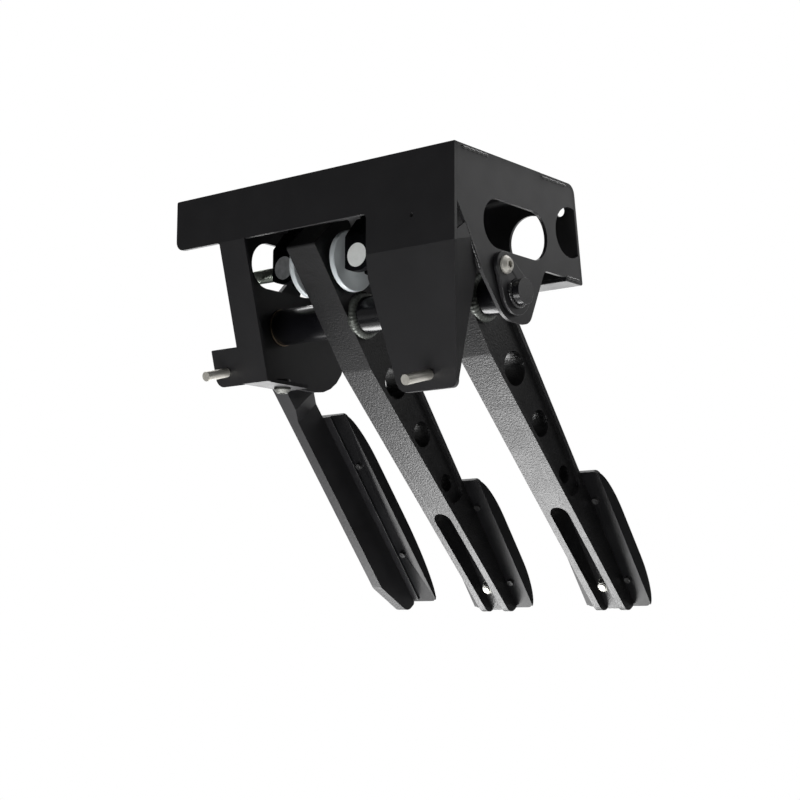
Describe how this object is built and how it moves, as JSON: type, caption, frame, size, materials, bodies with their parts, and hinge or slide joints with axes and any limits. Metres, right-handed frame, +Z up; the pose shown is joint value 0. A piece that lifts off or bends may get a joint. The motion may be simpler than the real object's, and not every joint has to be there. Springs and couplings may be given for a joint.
{
  "type": "hanging pedal box",
  "caption": "Hanging pedal box of folded sheet with brake, clutch and throttle arms on a cross shaft, and a balance bar with forked clevises on the brake arm.",
  "frame": {"origin": "middle of the front bar on the bulkhead face, half way across the box", "axes": "+X across the box to the clutch side, +Y from the bulkhead to the driver, +Z up"},
  "size_m": [0.303, 0.2956, 0.3355],
  "materials": {
    "black_sheet": "satin powder coat",
    "black_arm": "black coat, fine grain",
    "bright_steel": "turned",
    "zinc": "bright zinc",
    "dark_steel": "dark oxide",
    "bronze": "sintered",
    "nylon": "natural, slightly clear"
  },
  "bodies": {
    "box": {"front_plate": "black_sheet", "top_plate": "black_sheet", "right_side_plate": "black_sheet", "left_side_plate": "black_sheet", "rear_plate": "black_sheet", "right_gusset": "black_sheet", "stud_tab": "black_sheet", "mounting_studs": "zinc", "pivot_shaft": "black_sheet", "keeper_plate": "black_sheet", "keeper_screw": "zinc", "keeper_nut": "zinc", "foot_bolt": "zinc", "foot_nut": "black_sheet", "shaft_washer": "bright_steel", "shaft_clip": "bright_steel"},
    "brake_pedal": {"brake_arm": "black_arm", "brake_tube": "black_arm", "brake_bushes": "bronze", "balance_sleeve": "black_arm", "bearing_race": "bright_steel", "nylon_discs": "nylon", "brake_pad": "black_arm", "brake_pad_bolts": "zinc", "brake_pad_nuts": "zinc", "brake_grip_rivets": "zinc"},
    "bar": {"balance_bar": "zinc", "bearing_ball": "bright_steel"},
    "left_trunnion": {"left_barrel": "dark_steel"},
    "right_trunnion": {"right_barrel": "bright_steel"},
    "left_fork": {"left_clevis": "dark_steel"},
    "right_fork": {"right_clevis": "dark_steel"},
    "clutch_pedal": {"clutch_arm": "black_arm", "clutch_tube": "black_arm", "clutch_bushes": "bronze", "clutch_pad": "black_arm", "clutch_pad_bolts": "zinc", "clutch_pad_nuts": "zinc", "clutch_grip_rivets": "zinc", "clutch_pin": "zinc", "clutch_pin_nut": "zinc"},
    "clutch_rod": {"clutch_rod_end": "bright_steel"},
    "throttle_pedal": {"throttle_arm": "black_sheet", "throttle_hub": "black_sheet", "throttle_bushes": "bronze", "throttle_lever": "black_sheet", "throttle_strip": "black_sheet", "throttle_pad": "black_arm", "throttle_pad_screws": "zinc", "throttle_grip_rivets": "zinc"}
  },
  "joints": [
    {"name": "brake_pivot", "type": "hinge", "parent": "box", "child": "brake_pedal", "pos_m": [-0.0425, 0.073, -0.081], "axis": [1, 0, 0], "range_deg": [-25, 0]},
    {"name": "bar_tilt", "type": "hinge", "parent": "brake_pedal", "child": "bar", "pos_m": [-0.0425, 0.05078, -0.0407], "axis": [0, 0, 1], "range_deg": [-3, 3]},
    {"name": "left_swing", "type": "hinge", "parent": "bar", "child": "left_trunnion", "pos_m": [-0.0815, 0.05078, -0.0407], "axis": [1, 0, 0], "range_deg": [-80, 5]},
    {"name": "right_swing", "type": "hinge", "parent": "bar", "child": "right_trunnion", "pos_m": [-0.0035, 0.05078, -0.0407], "axis": [1, 0, 0], "range_deg": [-80, 5]},
    {"name": "left_turn", "type": "hinge", "parent": "left_trunnion", "child": "left_fork", "pos_m": [-0.0815, 0.05078, -0.0407], "axis": [0, 1, 0], "range_deg": [-6, 6]},
    {"name": "right_turn", "type": "hinge", "parent": "right_trunnion", "child": "right_fork", "pos_m": [-0.0035, 0.05078, -0.0407], "axis": [0, 1, 0], "range_deg": [-6, 6]},
    {"name": "clutch_pivot", "type": "hinge", "parent": "box", "child": "clutch_pedal", "pos_m": [0.077, 0.073, -0.081], "axis": [1, 0, 0], "range_deg": [-25, 0]},
    {"name": "rod_swing", "type": "hinge", "parent": "clutch_pedal", "child": "clutch_rod", "pos_m": [0.077, 0.05078, -0.0407], "axis": [1, 0, 0], "range_deg": [-80, 5]},
    {"name": "throttle_pivot", "type": "hinge", "parent": "box", "child": "throttle_pedal", "pos_m": [-0.136, 0.073, -0.081], "axis": [1, 0, 0], "range_deg": [-18, 0]}
  ]
}
